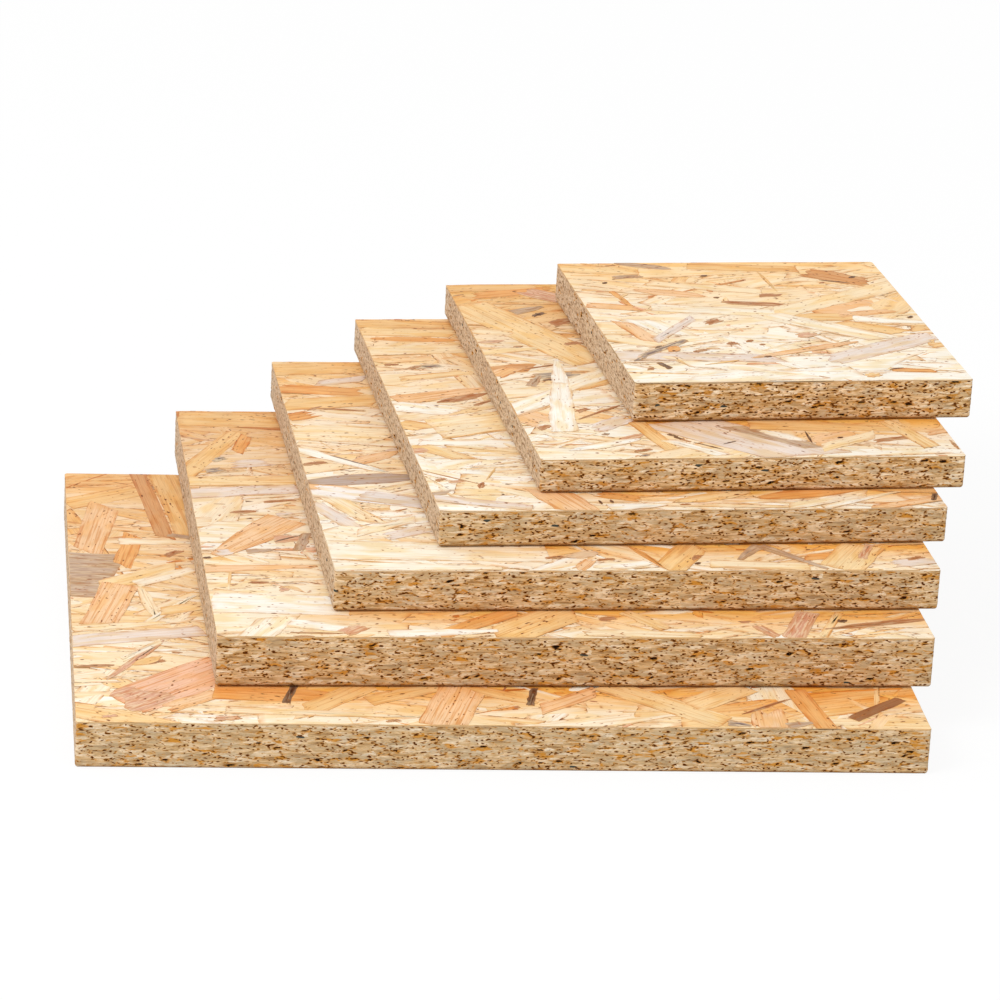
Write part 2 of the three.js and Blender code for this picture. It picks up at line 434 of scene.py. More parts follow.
accents["panel_4"] = [
    ("honey", -2, 252, 45, 248, 11, "square"), ("straw", -2, 240, 45, 236, 12, "slant"),
    ("amber", 3, 229, 45, 226, 7, "leaf"), ("cream", -2, 211, 45, 214, 13, "square"),
    ("rust", 4, 191, 11, 192, 2.4, "torn"), ("slate", 17, 187, 31, 190, 5, "torn"),
    ("rust", 13, 185, 21, 189, 3, "leaf"), ("straw", 8, 171, 42, 180, 7, "torn"),
    ("salmon", 2, 141, 47, 158, 13, "wedge"), ("rust", 20, 138, 46, 151, 6, "leaf"),
    ("rust", 36, 134, 45, 141, 2.4, "torn"), ("white", -2, 135, 28, 126, 14, "slant"),
    ("honey", -2, 112, 12, 104, 12, "slant"), ("cream", 13, 103, 51, 116, 25, "square"),
    ("amber", 15, 89.5, 45, 102.5, 0.9, "leaf"), ("honey", 7, 83, 45, 72, 0.9, "leaf"),
    ("straw", 3, 82, 21, 64, 9, "slant"), ("rose", -1, 74, 7, 77, 6, "torn"),
    ("honey", 26, 38, 32, 52, 1.2, "leaf"), ("rust", 4, 37, 9, 40, 2.6, "torn"),
    ("rust", 21, 27, 24, 35, 3, "leaf"), ("rose", 9, 35, 16, 37, 3, "torn"),
    ("rust", -1, 51, 23, 32, 0.8, "leaf"), ("silver", -2, 17, 40, 3, 7, "square"),
    ("white", -2, 6, 32, -1, 9, "wedge"), ("salmon", 50, 24, 60, -2, 17, "slant"),
    ("amber", 70, 20, 88, 12, 8, "torn"), ("umber", 70, 7, 69.5, 12, 1.2, "leaf"),
    ("umber", 75, 8.5, 74.5, 12.5, 1.4, "leaf"), ("straw", 101, 9, 137, 21, 9, "leaf"),
    ("rust", 103, 5.5, 108, 6.5, 1.6, "leaf"), ("amber", 138, 13, 187, 24, 10, "leaf"),
    ("blond", 149, 2, 187, 18, 7, "slant"), ("white", 164, 1, 202, 20, 4.5, "wedge"),
    ("salmon", 184, -1, 219, 12, 6, "slant"), ("umber", 213.5, 8, 216.5, 17, 2.4, "torn"),
    ("honey", 190, 26, 219, 22, 9, "square"), ("white", 72, 3, 98, 6, 8, "wedge"),
]
accents["panel_5"] = [
    ("honey", -2, 236, 42, 240, 11, "square"), ("amber", 9, 225, 49, 235, 9, "torn"),
    ("rose", 34, 234, 51, 219, 13, "torn"), ("taupe", 24, 200, 40, 209, 7, "wedge"),
    ("umber", 32, 194, 39, 200, 3, "torn"), ("rust", 38, 182, 51, 190, 7, "torn"),
    ("straw", 4, 212, 47, 128, 23, "square"), ("cream", -2, 174, 20, 169, 9, "torn"),
    ("rose", -1, 156, 13, 159, 4, "leaf"), ("rust", 14, 148, 20, 151, 3, "leaf"),
    ("rust", 39, 153, 48, 156, 4, "torn"), ("cream", -2, 142, 26, 148, 8, "wedge"),
    ("salmon", -1, 109, 11, 121, 9, "torn"), ("rust", 15, 119, 31, 125, 1.8, "leaf"),
    ("slate", 15, 108, 39, 112, 8, "torn"), ("taupe", 13, 95, 20, 110, 5, "wedge"),
    ("umber", 20, 103, 27, 105, 2.4, "leaf"), ("honey", 30, 90, 51, 104, 9, "leaf"),
    ("blond", 25, 91, 51, 114, 12, "slant"), ("white", -2, 63, 23, 84, 13, "slant"),
    ("salmon", -1, 55, 19, 70, 2.2, "leaf"), ("rust", 26, 51, 49, 70, 1.8, "leaf"),
    ("rust", 6, 38, 12, 44, 4, "torn"), ("rust", 27, 60, 33, 65, 3, "torn"),
    ("silver", 29, 37, 49, 53, 10, "torn"), ("slate", 32, 31, 36, 32, 3, "leaf"),
    ("rose", 37, 22, 51, 31, 5, "leaf"), ("white", 24.5, 80, 32, 133, 9.5, "fang"),
    ("white", 17, 35, 27, 100, 12, "sail"), ("white", 14, 11, 48, 25, 7, "leaf"),
    ("slate", 43, 3, 48, 5, 2.4, "leaf"), ("rust", 42, 9, 50, 12, 2.6, "torn"),
    ("silver", 68, 46, 117, 2, 30, "slant"), ("taupe", 90, 40, 122, 11, 9, "slant"),
    ("honey", 50.5, 47, 59, 11, 7.5, "square"), ("white", 59, 23, 80, 3, 6, "slant"),
    ("umber", 61, 31, 64.5, 27, 1.8, "square"), ("umber", 63, 27, 66.5, 23.5, 1.6, "square"),
    ("rust", 65, 24, 69, 20.5, 1.4, "square"), ("umber", 70, 20, 81, 10.5, 1.1, "leaf"),
    ("umber", 82, 17, 89, 21, 1.2, "leaf"), ("honey", 99, 43, 166, 34, 14, "wedge"),
    ("white", 102, 34, 120, 20, 7, "leaf"), ("salmon", 121, 19, 147, 29, 13, "torn"),
    ("umber", 121.5, 17, 122, 33, 1.1, "leaf"), ("umber", 134, 23, 137, 25, 2, "leaf"),
    ("cream", 124, 11, 152, 28, 8, "slant"), ("rust", 149, 19, 166, 24, 4, "torn"),
    ("straw", 162, 46, 173, 11, 9, "square"), ("salmon", 175, 28, 186, 33, 5, "torn"),
    ("rust", 184, 8, 183, 20, 1.6, "leaf"),
]
accents["panel_6"] = [
    ("straw", -2, 165, 36, 157, 11, "square"), ("taupe", 27, 172, 52, 162, 7, "leaf"),
    ("taupe", 21, 149, 36, 152, 5, "torn"), ("honey", 60, 166, 112, 160, 10, "square"),
    ("cream", 36, 141, 87, 127, 9, "square"), ("salmon", 27, 131, 59, 120, 9, "leaf"),
    ("honey", 92, 158, 94, 127, 1.6, "leaf"), ("amber", 17, 129, 21, 106, 2.8, "square"),
    ("salmon", 0, 109, 24, 103, 8, "torn"), ("rust", 64, 112, 98, 105.5, 6, "leaf"),
    ("slate", 87, 103, 93, 101, 2.6, "leaf"), ("rust", 84, 121, 94, 122, 5, "torn"),
    ("tan", 113, 157, 141, 139, 15, "torn"), ("umber", 118, 144, 132, 139, 1.4, "leaf"),
    ("blond", 30, 105, 88, 94, 11, "square"), ("cream", 85, 95, 152, 135, 14, "slant"),
    ("honey", 93, 90, 124, 88, 11, "leaf"), ("salmon", 113, 90, 142, 98, 7, "torn"),
    ("white", 119, 86, 153, 80, 9, "wedge"), ("honey", 110, 81, 137, 66, 10, "slant"),
    ("blond", 80, 93, 127, 57, 13, "slant"), ("honey", 140, 71, 153, 74, 9, "torn"),
    ("silver", 93, 27, 151, 62, 14, "torn"), ("honey", 143, 48, 153, 52, 11, "torn"),
    ("cream", -2, 64, 24, 50, 10, "slant"), ("white", 21, 87, 34, 64, 14, "slant"),
    ("salmon", 12, 84, 20, 55, 8, "slant"), ("silver", 21, 56, 46, 89, 5.5, "slant"),
    ("slate", 10, 35, 36, 58, 4.2, "torn"), ("slate", 6, 29, 14, 37, 2.6, "leaf"),
    ("umber", 19, 46, 23, 50, 2, "leaf"), ("umber", 16, 27, 20, 18.5, 3, "torn"),
    ("rust", 9, 18, 13, 19, 2.6, "torn"), ("rust", 35, 41, 42, 44, 2.4, "torn"),
    ("rust", 52.5, 51.5, 58, 53, 3.6, "torn"), ("rust", 62, 54, 66, 57, 2.4, "leaf"),
    ("rust", 67, 50, 70, 50.5, 1.8, "leaf"), ("rust", 49, 80, 58, 86, 5, "torn"),
    ("rose", 87, 61, 97, 66, 6, "torn"), ("salmon", 59, 32, 113, 53.5, 5.5, "leaf"),
    ("umber", 65, 32.5, 69, 34, 2, "leaf"), ("honey", 36, 23, 53, 29, 1.3, "leaf"),
    ("honey", 25, 34, 28, 24, 1.1, "leaf"), ("amber", 24, 41, 30, 49, 6, "leaf"),
    ("amber", 118, 14, 138, 12, 5, "torn"), ("umber", 117, 14.5, 124, 16.5, 1.3, "leaf"),
    ("honey", 104, 5, 111, 9, 5, "torn"), ("umber", 15, 139.5, 17.5, 142.5, 2, "leaf"),
    ("umber", 63, 150, 67, 152, 2.2, "leaf"), ("umber", 62, 117.5, 65, 119, 2, "leaf"),
    ("umber", 133, 146.5, 137, 149, 2.6, "leaf"), ("umber", 145, 86.5, 148, 89, 2, "leaf"),
]


def shares(table):
    return np.array([table.get(name, 0) for name in toneNames], float)


def plainTone(rng, panel, x, y):
    # A place on the line of plain tones that waves slowly over the face, as the sum of three cosines of the
    # distance along three directions. Gives the colour and the figure there.
    wave = np.zeros(len(x))
    for angle, length in zip(rng.uniform(0, 2 * math.pi, 3), plain["waveLengths"]):
        wave += np.cos((x * math.cos(angle) + y * math.sin(angle)) / length * 2 * math.pi
                       + plain["wavePhase"] * angle)
    at = plain["middle"] + plain["golden"][panel["name"]] + plain["wave"] * wave
    at = at + rng.normal(0, plain["spread"], len(x))
    line = np.column_stack([toneColours, toneFigures])[:plainCount]
    stops = np.linspace(0, 1, plainCount)
    found = np.stack([np.interp(at, stops, column) for column in line.T], axis=1)
    return found[:, :3], found[:, 3]


def paintedShadeLoss(panel, above, x, y):
    # Painted shade: what a face loses of its red, green and blue. Nothing at the front of what shows of it,
    # and more with the square of the distance towards its back, which paints the back darker and more golden
    # than the brighter lit front; on the strip in front of the next panel it grows with the square of the
    # distance towards that panel, which paints the shade under it.
    part = np.clip(np.maximum(y, 0) / (panel["depth"] / mm), 0, 1) ** 2
    loss = part[..., None] * gilding["back"][panel["name"]]
    if above is not None:
        reach = (above["corner"] - panel["corner"]) / mm
        stepRight, stepBack = reach @ panel["along"], reach @ panel["back"]
        strip = (x > stepRight) & (y < stepBack + gilding["past"])
        part = np.minimum(gilding["rise"] * (np.maximum(y, 0) / stepBack) ** 2, gilding["most"])
        loss = np.where(strip[..., None], part[..., None] * gilding["strip"], loss)
    return loss


def scatter(rng, panel, above, below, kind, topFace):
    # Strands thrown down at random over a face, most of them lying roughly along the panel's width.
    look, share = strandKinds[kind], shares(darkShare if kind == "chip" else oddShare)
    w, d = panel["width"] / mm, panel["depth"] / mm
    count = int(w * d / look["every"] * (1 if topFace else scattered["undersideShare"]))
    steep = rng.random(count) > scattered["level"]
    angle = np.where(steep, rng.normal(0, scattered["steepSway"], count), rng.normal(0, look["sway"], count))
    x, y = rng.uniform(0, w, count), rng.uniform(0, d, count)
    if kind == "mat":
        # a jittered grid, so that no hole shows between the strands
        run = d + 2 * scattered["matPast"]
        across, rows = round(w / scattered["matCell"][0]), round(run / scattered["matCell"][1])
        count = across * rows
        i, j = np.arange(count) % across, np.arange(count) // across
        x = (i + rng.uniform(*scattered["matJitter"], count)) * w / across
        y = (j + rng.uniform(*scattered["matJitter"], count)) * run / rows - scattered["matPast"]
        angle = rng.normal(0, look["sway"], count)
    low, high = look["width"]
    width = low + (high - low) * rng.random(count) ** scattered["narrowing"]
    tone, figure = plainTone(rng, panel, x, y)
    odd = rng.random(count) < look["odd"]
    pick = rng.choice(len(toneNames), count, p=share / share.sum())
    tone[odd], figure[odd] = toneColours[pick[odd]], toneFigures[pick[odd]]
    specs = dict(x=x, y=y, angle=angle, width=width, tone=tone, mottle=np.where(odd, toneMottles[pick], 0),
                 gild=np.ones(count), outlined=np.ones(count), dip=np.full(count, scattered["dip"]),
                 highest=np.full(count, scattered["highest"]),
                 length=rng.uniform(*look["length"], count), sink=rng.uniform(*look["sink"], count),
                 ragged=rng.uniform(*scattered["ragged"], count) * look["ragged"],
                 figure=figure * rng.random(count),
                 taper=rng.uniform(0, scattered["taper"], count) ** 2,
                 lens=rng.uniform(0, scattered["lens"], count) ** 2,
                 bow=rng.normal(0, scattered["bow"], count),
                 slant=rng.normal(0, scattered["slant"], (count, 2)),
                 tilt=rng.normal(0, scattered["tilt"], (count, 2)))
    if look.get("shownOnly"):
        a = np.radians(angle)
        hidden = np.ones(count, bool)
        for end in (-0.5, 0, 0.5):
            tipX = x + end * specs["length"] * np.cos(a)
            tipY = y + end * specs["length"] * np.sin(a)
            hidden &= covered(panel, above if topFace else below, tipX, tipY, scattered["hidden"])
        specs = {key: value[~hidden] for key, value in specs.items()}
    return specs


def laidStrands(rng, rows):
    # The strands that stand out lie on top of the others, the later ones over the earlier.
    count = len(rows)
    which = [toneNames.index(row[0]) for row in rows]
    x0, y0, x1, y1, width = np.array([row[1:6] for row in rows], float).T
    slant, ragged, taper, lens = (np.array(values) for values in zip(*[endKinds[row[6]] for row in rows]))
    return dict(x=(x0 + x1) / 2, y=(y0 + y1) / 2, angle=np.degrees(np.arctan2(y1 - y0, x1 - x0)),
                length=np.hypot(x1 - x0, y1 - y0), width=width, tone=toneColours[which],
                mottle=toneMottles[which],
                gild=np.full(count, laid["gild"]), outlined=np.full(count, laid["outlined"]),
                dip=np.full(count, laid["dip"]), highest=np.zeros(count),
                sink=laid["sink"] * (1 - np.arange(count) / count),
                ragged=np.minimum(ragged, width * laid["ragged"]),
                figure=toneFigures[which] * rng.uniform(*laid["figure"], count), taper=taper, lens=lens,
                bow=rng.normal(0, laid["bow"], count), slant=slant, tilt=np.zeros((count, 2)))


def stations(count, size, places):
    # Places from 0 to 1 over a size, two or three of them close to each end: each so many mm from it, but no
    # further than a part of the size.
    near = [np.minimum(reach / size, most) for reach, most in places]
    ends = [0 * near[0]] + near[:2 if count > 5 else 1]
    middle = count - 2 * len(ends)
    inner = [ends[-1] + (1 - 2 * ends[-1]) * (k + 1) / (middle + 1) for k in range(middle)]
    return np.concatenate(ends + inner + [1 - end for end in reversed(ends)], axis=1)


def strandGrid(rng, panel, above, specs, rows, columns, topFace):
    # Each strand is a grid: s runs from 0 to 1 along the grain and c from -1 to 1 across it. Its half width
    # is less by the taper times s squared and by the lens times the cube of the distance from its middle,
    # the bow bends it as the square of the length, the ends are slanted and torn, and the rim dips a
    # little. A second outline, a thickness further in, closes it below.
    n = len(specs["x"])
    length, half = specs["length"][:, None], specs["width"][:, None] / 2
    s = stations(rows, length, sheet["endStations"])
    c = 2 * stations(columns, half, sheet["sideStations"]) - 1
    torn = rng.random((2, n, columns)) ** sheet["tearing"] * specs["ragged"][:, None]
    start = -length / 2 + specs["slant"][:, :1] * c * half + torn[0]
    end = length / 2 + specs["slant"][:, 1:] * c * half - torn[1]
    along = start[:, None, :] * (1 - s[:, :, None]) + end[:, None, :] * s[:, :, None]
    narrow = (1 - specs["taper"][:, None] * s * s) * (1 - specs["lens"][:, None] * abs(2 * s - 1) ** 3)
    across = c[:, None, :] * (half * narrow)[:, :, None]
    wander = rng.normal(0, sheet["wander"], (n, rows, 1)) * specs["width"][:, None, None]
    nibble = rng.normal(0, sheet["nibble"], across.shape)
    nibble *= np.minimum(half, sheet["nibbleWidth"])[:, :, None]
    bend = specs["bow"][:, None, None] * along * along / length[:, :, None]
    across = across + wander + nibble + bend
    a = np.radians(specs["angle"])[:, None, None]
    x = specs["x"][:, None, None] + along * np.cos(a) - across * np.sin(a)
    y = specs["y"][:, None, None] + along * np.sin(a) + across * np.cos(a)
    rim = np.ones(x.shape)
    rim[:, 1:-1, 1:-1] = sheet["rimInside"]
    rim[:, 2:-2, 2:-2] = 0
    tilt = specs["tilt"][:, :1, None] * (2 * s[:, :, None] - 1) + specs["tilt"][:, 1:, None] * c[:, None, :]
    drop = specs["sink"][:, None, None] + tilt + specs["dip"][:, None, None] * rim
    lift = drop.min(axis=(1, 2), keepdims=True) - specs["highest"][:, None, None]
    drop = np.minimum(drop - np.minimum(lift, 0), sheet["deepest"])
    z = panel["high"] - drop * mm if topFace else panel["low"] + drop * mm
    turn = 1 if topFace else -1
    face = place(panel, x * mm, y * mm, z).reshape(n, -1, 3)
    grid = np.arange(rows * columns).reshape(rows, columns)
    walk = np.concatenate([grid[0, :-1], grid[:-1, -1], grid[-1, :0:-1], grid[:0:-1, 0]])
    vertices = np.concatenate([face, face[:, walk] - np.array([0, 0, turn * sheet["thickness"]])], axis=1)
    low = rows * columns + np.arange(len(walk))
    quads = np.stack([grid[:-1, :-1], grid[1:, :-1], grid[1:, 1:], grid[:-1, 1:]], axis=-1).reshape(-1, 4)
    walls = np.stack([walk, np.roll(walk, -1), np.roll(low, -1), low], axis=-1)
    base = np.arange(n)[:, None] * vertices.shape[1]
    sheets = (np.concatenate([quads, walls])[None, :, ::turn] + base[:, None]).reshape(-1, 4)
    caps = (low[None] + base)[:, ::turn]
    uv = np.stack([along, across], axis=-1).reshape(n, -1, 2) * mm
    uv = uv + rng.uniform(0, sheet["grainShift"], (n, 1, 2))
    uv = np.concatenate([uv, uv[:, walk]], axis=1).reshape(-1, 2)
    rim = rim * np.clip(half * narrow / sheet["rimWidth"], sheet["rimLeast"], 1)[:, :, None]
    rim = rim.reshape(n, -1) * specs["outlined"][:, None]
    rim = np.concatenate([rim, np.zeros((n, len(walk)))], axis=1).ravel()
    # painted shade: each point's loss towards the back and under the next panel, or on the underside a
    # darker, more golden tone that paints the shade in the gap under each panel
    if topFace:
        loss = paintedShadeLoss(panel, above, x, y).reshape(n, -1, 3)
    else:
        loss = np.full((n, rows * columns, 3), gilding["underside"]) * gilding["strip"]
    loss = np.concatenate([loss, loss[:, walk]], axis=1) * specs["gild"][:, None, None]
    tone = specs["tone"][:, None] * (1 - loss)
    values = {key: np.repeat(specs[key], vertices.shape[1]) for key in ("figure", "mottle")}
    return vertices.reshape(-1, 3), sheets, caps, uv, dict(rim=rim, tone=tone.reshape(-1, 3), **values)


def dropOpen(bm):
    # removes the few strands that a cut only grazed and so left open
    left = [v for e in bm.edges if len(e.link_faces) != 2 for v in e.verts]
    found = set(left)
    while left:
        for edge in left.pop().link_edges:
            for vertex in edge.verts:
                if vertex not in found:
                    found.add(vertex)
                    left.append(vertex)
    bmesh.ops.delete(bm, geom=list(found), context="VERTS")


def saw(mesh, panel, topFace, inset, chamfer):
    # Cuts strands level with the four sawn edges, takes off the arris and closes each cut end.
    w, d = panel["width"], panel["depth"]
    up = 1 if topFace else -1
    along, back = Vector((*panel["along"], 0)), Vector((*panel["back"], 0))
    middle = Vector((*panel["corner"], panel["high" if topFace else "low"])) + along * w / 2 + back * d / 2
    planes = []
    for out, half in ((along, w / 2), (-along, w / 2), (back, d / 2), (-back, d / 2)):
        edge = middle + out * (half - inset)
        planes.append((edge, out))
        planes.append((edge - out * chamfer, (out + Vector((0, 0, up))).normalized()))
    for sx in (-1, 1):
        for sy in (-1, 1):
            tip = along * sx * (w / 2 - inset - cut["corner"])
            tip = tip + back * sy * (d / 2 - inset - cut["corner"])
            planes.append((middle + tip, (along * sx + back * sy).normalized()))
    bm = bmesh.new()
    bm.from_mesh(mesh)
    for point, normal in planes:
        everything = bm.verts[:] + bm.edges[:] + bm.faces[:]
        sawn = bmesh.ops.bisect_plane(bm, geom=everything, plane_co=point, plane_no=normal, clear_outer=True,
                                      dist=1e-8)
        edges = [e for e in sawn["geom_cut"] if isinstance(e, bmesh.types.BMEdge)]
        bmesh.ops.holes_fill(bm, edges=edges, sides=0)
    dropOpen(bm)
    bm.to_mesh(mesh)
    bm.free()


def layCutEnds(mesh):
    # The grain on a cut or steep face runs level: u is the distance along the face's level line, v the
    # height.
    points = gather(mesh.vertices, "co", 3)[gather(mesh.loops, "vertex_index", 1, int)[:, 0]]
    total = gather(mesh.polygons, "loop_total", 1, int)[:, 0]
    normals = np.repeat(gather(mesh.polygons, "normal", 3), total, axis=0)
    layer = mesh.uv_layers["grain"]
    uv = gather(layer.uv, "vector", 2, np.float32)
    steep = np.abs(normals[:, 2]) < cut["steep"]
    level = points[:, 1] * normals[:, 0] - points[:, 0] * normals[:, 1]
    uv[steep] = np.stack([level, points[:, 2]], axis=1)[steep]
    layer.uv.foreach_set("vector", uv.ravel())


def buildStrands(number, material, topFace):
    # The strands are cut in groups, each a hair further in, so that no two cut ends share a plane.
    panel = panels[number]
    above = panels[number + 1] if number + 1 < len(panels) else None
    below = panels[number - 1] if number else None
    side = "face" if topFace else "underside"
    rng = np.random.default_rng(seeds[side] + number)
    layers = [(scatter(rng, panel, above, below, kind, topFace), look["rows"], look["columns"])
              for kind, look in strandKinds.items()]
    if topFace:
        layers.append((laidStrands(rng, accents[panel["name"]]), laid["rows"], laid["columns"]))
    name = panel["name"] + "_" + side + "_strands"
    bm = bmesh.new()
    for group in range(cut["groups"]):
        grids = []
        for specs, rows, columns in layers:
            some = {key: value[group::cut["groups"]] for key, value in specs.items()}
            if len(some["x"]):
                grids.append(strandGrid(rng, panel, above, some, rows, columns, topFace))
        faces, base = [], 0
        for vertices, sheets, caps, _, _ in grids:
            faces += (sheets + base).tolist() + (caps + base).tolist()
            base += len(vertices)
        values = {key: np.concatenate([grid[4][key] for grid in grids]) for key in grids[0][4]}
        mesh = meshFrom(name, np.concatenate([grid[0] for grid in grids]), faces, values,
                        uv=np.concatenate([grid[3] for grid in grids]))
        saw(mesh, panel, topFace, cut[side + "Inset"] + cut["step"] * group, cut[side + "Chamfer"])
        bm.from_mesh(mesh)
        bpy.data.meshes.remove(mesh)
    mesh = bpy.data.meshes.new(name)
    bm.to_mesh(mesh)
    bm.free()
    layCutEnds(mesh)
    return addPiece(name, mesh, material)


def newMaterial(name):
    material = bpy.data.materials.new(name)
    material.use_nodes = True
    tree = material.node_tree
    return material, tree, tree.nodes["Principled BSDF"]


def add(tree, kind, links=None, out=0, **settings):
    # Adds a node and gives one of its outputs. Settings are its properties or, as in0, in1 and so on, its
    # sockets' values.
    node = tree.nodes.new("ShaderNode" + kind)
    for key, value in settings.items():
        if key.startswith("in") and key[2:].isdigit():
            node.inputs[int(key[2:])].default_value = value
        else:
            setattr(node, key, value)
    for socket, source in (links or {}).items():
        tree.links.new(source, node.inputs[socket])
    return node.outputs[out]


def per(along, across):
    # the scale at which one unit of a pattern is this many mm along the grain and across it
    return (1 / (along * mm), 1 / (across * mm), 1)


def ranged(values):
    # sockets for a range: two values that go in and the two that come out for them
    return dict(zip(("in1", "in2", "in3", "in4"), values))


def grainNoises(tree, vector, noises):
    # for each name a noise: mm along and across the grain, detail, roughness and distortion
    found = {}
    for name, (along, across, detail, roughness, distortion) in noises.items():
        scaled = add(tree, "Mapping", {0: vector}, in3=per(along, across))
        found[name] = add(tree, "TexNoise", {0: scaled}, "Fac", noise_dimensions="2D", in2=1, in3=detail,
                          in4=roughness, in8=distortion)
    return found


def tint(tree, colour, pattern, how, within=None, ease="LINEAR", **blend):
    # Mixes a tone into a colour where a pattern goes from one value to another; the share of the tone goes
    # from a first to a last value there, and is less where another pattern is. Gives the colour and the
    # share.
    tone, *values = how
    share = add(tree, "MapRange", {0: pattern}, interpolation_type=ease, **ranged(values))
    if within is not None:
        share = add(tree, "Math", {0: share, 1: within}, operation="MULTIPLY")
    colour = add(tree, "Mix", {0: share, 6: colour}, 2, data_type="RGBA", in7=rgba(tone), **blend)
    return colour, share


def finishSurface(tree, shader, look, colour, height):
    tree.links.new(colour, shader.inputs["Base Color"])
    shader.inputs["Roughness"].default_value = look["roughness"]
    shader.inputs["Specular IOR Level"].default_value = look["gloss"]
    strength, distance = look["bump"]
    bump = add(tree, "Bump", {"Height": height}, in0=strength, in1=distance)
    tree.links.new(bump, shader.inputs["Normal"])


# noises as in grainNoises, tints as in tint, ranges as in ranged
strandFinish = dict(
    noises=dict(
        stain=(22, 5.5, 2, 0.5, 0),
        ring=(46, 1.1, 2, 0.6, 0.3),
        fibre=(9, 0.38, 3, 0.6, 0),
        streak=(8, 1.0, 2, 0.5, 0),
        shade=(9, 6, 2, 0.5, 0),
        dash=(3.4, 1.4, 1, 0.5, 0),
        dashField=(26, 12, 2, 0.5, 0),
        rimBreak=(3.2, 3.2, 2, 0.5, 0),
    ),
    blotch=16 * mm,
    roughness=0.6,
    gloss=0.3,
    bump=(0.3, 0.1 * mm),
    stain=("#F9E6BC", 0.42, 0.68, 0, 0.7),
    ring=("#E2B67A", 0.53, 0.68, 0, 1),
    # painted shade: the rims of strands darken where they dip under their neighbours
    shade=("#E6BC90", 0.38, 0.62, 0, 1),
    halo=("#BE7028", 0.63, 0.70, 0, 0.8),
    dash=("#66300A", 0.70, 0.74, 0, 0.95),
    # the thin dark line at a strand's rim: partly a dark joint, partly painted shadow in the gap to the next
    # strand
    rim=("#8A4C10", 0.45, 0.8, 0, 0.9),
    paleTone="#F5DDB4",
    endTone="#C29A66",
    ringStrength=(0.9, 0.15),       # for each unit of figure, and without any
    fibreLight=(0.3, 0.7, 0.9, 1.06),
    blotchLight=(0.3, 0.7, 0.95, 1.04),
    streakShare=(0.47, 0.6, 0, 1),
    rimShare=(0, 0.45, 0, 0.8),
    dashFewer=(0.35, 0.65, -0.165, -0.03),
    dashFigure=0.03,
    rimGap=(0.48, 0.61, 0, 1),
    cutShare=(0.6, 0.95, 0.85, 0),
    endLight=(0.3, 0.7, 0.7, 1.15),
)


def strandMaterial():
    # Peeled pine strands pressed with clear resin: matt, with amber growth rings, resin dashes, thin dark
    # lines where the rim of a strand meets the next, partly dark joints and partly painted shadow in the
    # gap, and painted shade along the rims.
    look = strandFinish
    material, tree, shader = newMaterial("pressedPineStrand")
    noise = grainNoises(tree, add(tree, "UVMap", uv_map="grain"), look["noises"])
    tone = add(tree, "Attribute", out="Color", attribute_name="tone")
    rim, figure, mottle = (add(tree, "Attribute", out="Fac", attribute_name=name)
                           for name in ("rim", "figure", "mottle"))
    colour, _ = tint(tree, tone, noise["stain"], look["stain"], ease="SMOOTHSTEP", blend_type="MULTIPLY")
    most, least = look["ringStrength"]
    strength = add(tree, "Math", {0: figure}, operation="MULTIPLY_ADD", in1=most, in2=least)
    colour, _ = tint(tree, colour, noise["ring"], look["ring"], strength, "SMOOTHSTEP",
                     blend_type="MULTIPLY")

    position = add(tree, "TexCoord", out="Object")
    blotch = add(tree, "TexNoise", {0: position}, "Fac", in2=1 / look["blotch"], in3=2)
    light = add(tree, "MapRange", {0: noise["fibre"]}, **ranged(look["fibreLight"]))
    cloud = add(tree, "MapRange", {0: blotch}, **ranged(look["blotchLight"]))
    light = add(tree, "Math", {0: light, 1: cloud}, operation="MULTIPLY")
    colour = add(tree, "VectorMath", {0: colour, 3: light}, operation="SCALE")

    streak = add(tree, "MapRange", {0: noise["streak"]}, **ranged(look["streakShare"]))
    near = add(tree, "MapRange", {0: rim}, **ranged(look["rimShare"]))
    pale = add(tree, "Math", {0: streak, 1: near}, operation="MAXIMUM")
    pale = add(tree, "Math", {0: pale, 1: mottle}, operation="MULTIPLY")
    colour = add(tree, "Mix", {0: pale, 6: colour}, 2, data_type="RGBA", in7=rgba(look["paleTone"]))
    # painted shade near each strand's rim, broken up by the shade noise
    colour, _ = tint(tree, colour, noise["shade"], look["shade"], near, blend_type="MULTIPLY")

    field = add(tree, "MapRange", {0: noise["dashField"]}, **ranged(look["dashFewer"]))
    field = add(tree, "Math", {0: figure, 2: field}, operation="MULTIPLY_ADD", in1=look["dashFigure"])
    dash = add(tree, "Math", {0: noise["dash"], 1: field}, operation="ADD")
    colour, _ = tint(tree, colour, dash, look["halo"])
    colour, _ = tint(tree, colour, dash, look["dash"])
    # rim line: partly a dark joint, partly painted shadow in the gap
    gap = add(tree, "MapRange", {0: noise["rimBreak"]}, **ranged(look["rimGap"]))
    colour, _ = tint(tree, colour, rim, look["rim"], gap)

    upward = add(tree, "SeparateXYZ", {0: add(tree, "NewGeometry", out="True Normal")}, 2)
    upward = add(tree, "Math", {0: upward}, operation="ABSOLUTE")
    share = add(tree, "MapRange", {0: upward}, **ranged(look["cutShare"]))
    end = add(tree, "MapRange", {0: noise["fibre"]}, **ranged(look["endLight"]))
    end = add(tree, "VectorMath", {3: end}, operation="SCALE", in0=linear(look["endTone"]))
    colour = add(tree, "Mix", {0: share, 6: colour, 7: end}, 2, data_type="RGBA")
    finishSurface(tree, shader, look, colour, noise["fibre"])
    return material


